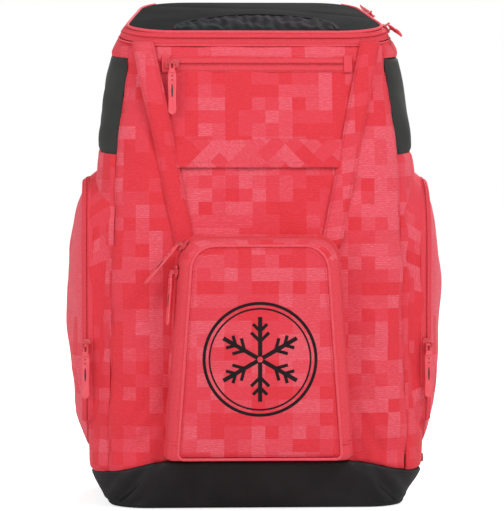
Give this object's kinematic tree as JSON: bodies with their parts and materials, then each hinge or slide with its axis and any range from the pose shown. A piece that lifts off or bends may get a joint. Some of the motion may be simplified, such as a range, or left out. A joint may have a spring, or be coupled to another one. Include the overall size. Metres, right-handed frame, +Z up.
{
  "type": "ski boot bag",
  "caption": "Backpack for ski boots: red blocked fabric over a black base, zipped lid, domed front pocket, side boot doors and padded shoulder straps.",
  "frame": {"origin": "on the floor, in the middle of the outline of the whole pack", "axes": "+Z up, -Y is the front with the pocket, +Y the side with the shoulder straps, +X to the right as seen from the front"},
  "size_m": [0.408, 0.366, 0.5582],
  "materials": {
    "shell_fabric": "woven polyester, tone on tone blocks",
    "zip_tape": "woven tape with a coil",
    "tarpaulin": "coated cloth, satin",
    "mesh": "gathered mesh",
    "padding": "spacer mesh over foam",
    "lining": "plain woven",
    "board": "matt",
    "webbing": "ribbed webbing",
    "hardware": "moulded, fine texture",
    "slider_metal": "enamel",
    "pull": "moulded"
  },
  "bodies": {
    "pack": {"back_pads": "padding", "back_panel": "tarpaulin", "base_board": "board", "base_tub": "tarpaulin", "boot_divider": "lining", "corner_rivet": "hardware", "frame_sheet": "board", "front_band": "shell_fabric", "front_panel_left": "shell_fabric", "front_panel_lower": "shell_fabric", "front_panel_right": "shell_fabric", "front_panel_upper": "shell_fabric", "front_strap_left": "shell_fabric", "front_strap_right": "shell_fabric", "haul_lugs": "hardware", "helmet_shelf": "lining", "ladder_locks": "hardware", "lid_zip_lower": "zip_tape", "lower_webbing": "webbing", "pocket_gusset": "shell_fabric", "pocket_zip_body": "zip_tape", "shoulder_strap_left": "padding", "shoulder_strap_right": "padding", "side_gusset_left": "shell_fabric", "side_gusset_right": "shell_fabric", "side_panel_left": "shell_fabric", "side_panel_right": "shell_fabric", "side_wing_left": "tarpaulin", "side_wing_right": "tarpaulin", "side_zips_body": "zip_tape", "upper_pocket_bag": "lining", "upper_zip": "zip_tape"},
    "lid": {"lid_panel": "tarpaulin", "lid_mesh": "mesh", "lid_zip_upper": "zip_tape"},
    "pocket_door": {"pocket_panel": "shell_fabric", "pocket_zip_door": "zip_tape"},
    "door_left": {"side_door_left": "shell_fabric", "side_zip_door_left": "zip_tape"},
    "door_right": {"side_door_right": "shell_fabric", "side_zip_door_right": "zip_tape"},
    "grab_loop": {"haul_handle": "webbing"},
    "chest_strap": {"chest_webbing": "webbing", "chest_clips": "hardware", "chest_buckle_female": "hardware"},
    "chest_male": {"chest_buckle_male": "hardware"},
    "upper_pocket_slide_body": {"upper_pocket_slider": "slider_metal"},
    "upper_pocket_pull_body": {"upper_pocket_pull": "pull"},
    "pocket_arc_slide_body": {"pocket_arc_slider": "slider_metal"},
    "pocket_arc_pull_body": {"pocket_arc_pull": "pull"},
    "pocket_run_slide_body": {"pocket_run_slider": "slider_metal"},
    "pocket_run_pull_body": {"pocket_run_pull": "pull"},
    "side_left_slide_body": {"side_left_slider": "slider_metal"},
    "side_left_pull_body": {"side_left_pull": "pull"},
    "side_right_slide_body": {"side_right_slider": "slider_metal"},
    "side_right_pull_body": {"side_right_pull": "pull"},
    "lid_front_slide_body": {"lid_front_slider": "slider_metal"},
    "lid_front_pull_body": {"lid_front_pull": "pull"},
    "lid_back_slide_body": {"lid_back_slider": "slider_metal"},
    "lid_back_pull_body": {"lid_back_pull": "pull"}
  },
  "joints": [
    {"name": "lid_hinge", "type": "hinge", "parent": "pack", "child": "lid", "pos_m": [0, 0.1238, 0.5526], "axis": [-1, 0, 0], "range_deg": [0, 100]},
    {"name": "pocket_hinge", "type": "hinge", "parent": "pack", "child": "pocket_door", "pos_m": [0, -0.1662, 0.056], "axis": [1, 0, 0], "range_deg": [0, 90]},
    {"name": "door_left_hinge", "type": "hinge", "parent": "pack", "child": "door_left", "pos_m": [-0.1842, -0.028, 0.05942], "axis": [0, -1, 0], "range_deg": [0, 90]},
    {"name": "door_right_hinge", "type": "hinge", "parent": "pack", "child": "door_right", "pos_m": [0.1842, -0.028, 0.05942], "axis": [0, 1, 0], "range_deg": [0, 90]},
    {"name": "upper_pocket_zip", "type": "slide", "parent": "pack", "child": "upper_pocket_slide_body", "axis": [1, 0, 0], "range_m": [0, 0.178]},
    {"name": "pocket_zip_corner", "type": "hinge", "parent": "pocket_door", "child": "pocket_arc_slide_body", "pos_m": [-0.0587, -0.166, 0.267], "axis": [0, 1, 0], "range_deg": [0, 42]},
    {"name": "pocket_zip_run", "type": "slide", "parent": "pocket_door", "child": "pocket_run_slide_body", "axis": [-0.0674, 0, -0.9977], "range_m": [0, 0.172]},
    {"name": "side_zip_left", "type": "slide", "parent": "door_left", "child": "side_left_slide_body", "axis": [0, 0, 1], "range_m": [-0.04, 0.104]},
    {"name": "side_zip_right", "type": "slide", "parent": "door_right", "child": "side_right_slide_body", "axis": [0, 0, 1], "range_m": [-0.04, 0.104]},
    {"name": "lid_zip_front", "type": "slide", "parent": "lid", "child": "lid_front_slide_body", "axis": [-0.1226, 0.975, 0.1853], "range_m": [-0.002, 0.03]},
    {"name": "lid_zip_back", "type": "slide", "parent": "lid", "child": "lid_back_slide_body", "axis": [-0.1226, 0.975, 0.1853], "range_m": [-0.045, 0.003]},
    {"name": "upper_pocket_pull_swing", "type": "hinge", "parent": "upper_pocket_slide_body", "child": "upper_pocket_pull_body", "pos_m": [-0.092, -0.12116, 0.48127], "axis": [-1, 0, 0], "range_deg": [0, 150]},
    {"name": "pocket_arc_pull_swing", "type": "hinge", "parent": "pocket_arc_slide_body", "child": "pocket_arc_pull_body", "pos_m": [-0.08525, -0.16767, 0.28928], "axis": [-0.2164, 0.9593, 0.1816], "range_deg": [0, 150]},
    {"name": "pocket_run_pull_swing", "type": "hinge", "parent": "pocket_run_slide_body", "child": "pocket_run_pull_body", "pos_m": [-0.09415, -0.16767, 0.25838], "axis": [-0.2818, 0.9593, 0.019], "range_deg": [0, 50]},
    {"name": "side_left_pull_swing", "type": "hinge", "parent": "side_left_slide_body", "child": "side_left_pull_body", "pos_m": [-0.18587, -0.12614, 0.176], "axis": [-0.9487, 0.3162, 0], "range_deg": [0, 150]},
    {"name": "side_right_pull_swing", "type": "hinge", "parent": "side_right_slide_body", "child": "side_right_pull_body", "pos_m": [0.18587, -0.12614, 0.176], "axis": [-0.9487, -0.3162, 0], "range_deg": [0, 150]},
    {"name": "lid_front_pull_swing", "type": "hinge", "parent": "lid_front_slide_body", "child": "lid_front_pull_body", "pos_m": [0.15083, -0.036, 0.52455], "axis": [-0.538, -0.2221, 0.8132], "range_deg": [0, 110]},
    {"name": "lid_back_pull_swing", "type": "hinge", "parent": "lid_back_slide_body", "child": "lid_back_pull_body", "pos_m": [0.13927, 0.056, 0.54204], "axis": [0.538, 0.2221, -0.8132], "range_deg": [0, 110]},
    {"name": "grab_loop_hinge", "type": "hinge", "parent": "pack", "child": "grab_loop", "pos_m": [0, 0.132, 0.53], "axis": [1, 0, 0], "range_deg": [0, 130]},
    {"name": "chest_strap_height", "type": "slide", "parent": "pack", "child": "chest_strap", "axis": [0, 0, 1], "range_m": [-0.03, 0.03]},
    {"name": "chest_buckle_release", "type": "slide", "parent": "chest_strap", "child": "chest_male", "axis": [1, 0, 0], "range_m": [0, 0.024]}
  ]
}
